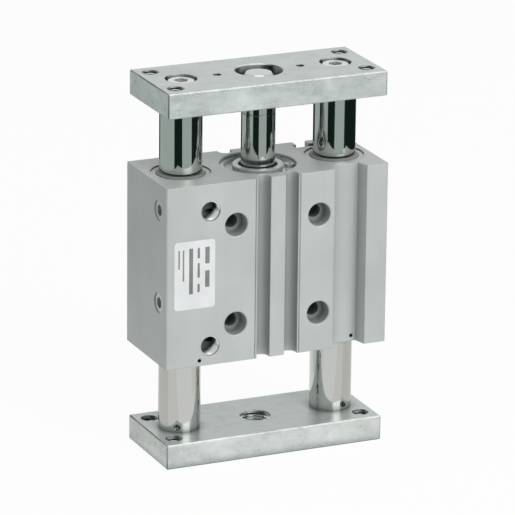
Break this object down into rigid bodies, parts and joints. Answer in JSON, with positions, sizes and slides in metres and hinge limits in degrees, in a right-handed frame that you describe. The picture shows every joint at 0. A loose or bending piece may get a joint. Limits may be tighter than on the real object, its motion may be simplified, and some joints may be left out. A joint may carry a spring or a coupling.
{
  "type": "guided pneumatic cylinder",
  "caption": "Compact guided pneumatic cylinder: block housing with two guide rods and a piston rod, joined by a plate at each end.",
  "frame": {"origin": "middle of the rear plate's underside, on which the cylinder stands", "axes": "+Z along the stroke, towards the front plate; -Y out of the face with the air ports; +X along the plates"},
  "size_m": [0.112, 0.048, 0.1815],
  "materials": {
    "anodised_housing": "clear satin anodised extrusion",
    "plugs": "zinc plated",
    "turned_covers": "turned, clear anodised",
    "gaskets": "nitrile rubber",
    "circlips": "phosphated spring steel",
    "rod_seal": "nitrile rubber",
    "bushes": "bearing bronze",
    "bumpers": "polyurethane buffer",
    "holders": "zinc plated",
    "wipers": "nitrile rubber",
    "plates": "nickel plated, lightly mottled",
    "guide_rods": "hard chrome, ground",
    "piston_rod": "hard chrome, ground",
    "rod_end_ring": "spring steel",
    "piston": "turned, chromated",
    "piston_seal": "nitrile rubber",
    "magnet": "plastic bonded ferrite",
    "wear_ring": "acetal",
    "screws": "nickel plated"
  },
  "bodies": {
    "housing": {"housing": "anodised_housing", "front_side_plug": "plugs", "rear_side_plug": "plugs", "front_collar": "turned_covers", "front_collar_gasket": "gaskets", "front_circlip": "circlips", "rod_seal": "rod_seal", "rod_bush": "bushes", "front_bumper": "bumpers", "head_cover": "turned_covers", "head_cover_gasket": "gaskets", "rear_circlip": "circlips", "rear_bumper": "bumpers", "front_guide_bush_left": "bushes", "front_guide_bush_right": "bushes", "rear_guide_bush_left": "bushes", "rear_guide_bush_right": "bushes", "guide_holder_left": "holders", "guide_holder_right": "holders", "guide_wiper_left": "wipers", "guide_wiper_right": "wipers"},
    "slider": {"front_plate": "plates", "rear_plate": "plates", "guide_rod_left": "guide_rods", "guide_rod_right": "guide_rods", "piston_rod": "piston_rod", "rod_end_ring": "rod_end_ring", "piston": "piston", "piston_seal": "piston_seal", "piston_magnet": "magnet", "piston_wear_ring": "wear_ring", "piston_screw": "screws", "front_guide_screw_left": "screws", "front_guide_screw_right": "screws", "rear_guide_screw_left": "screws", "rear_guide_screw_right": "screws"}
  },
  "joints": [
    {"name": "stroke", "type": "slide", "parent": "housing", "child": "slider", "axis": [0, 0, 1], "range_m": [-0.0225, 0.0275]}
  ]
}
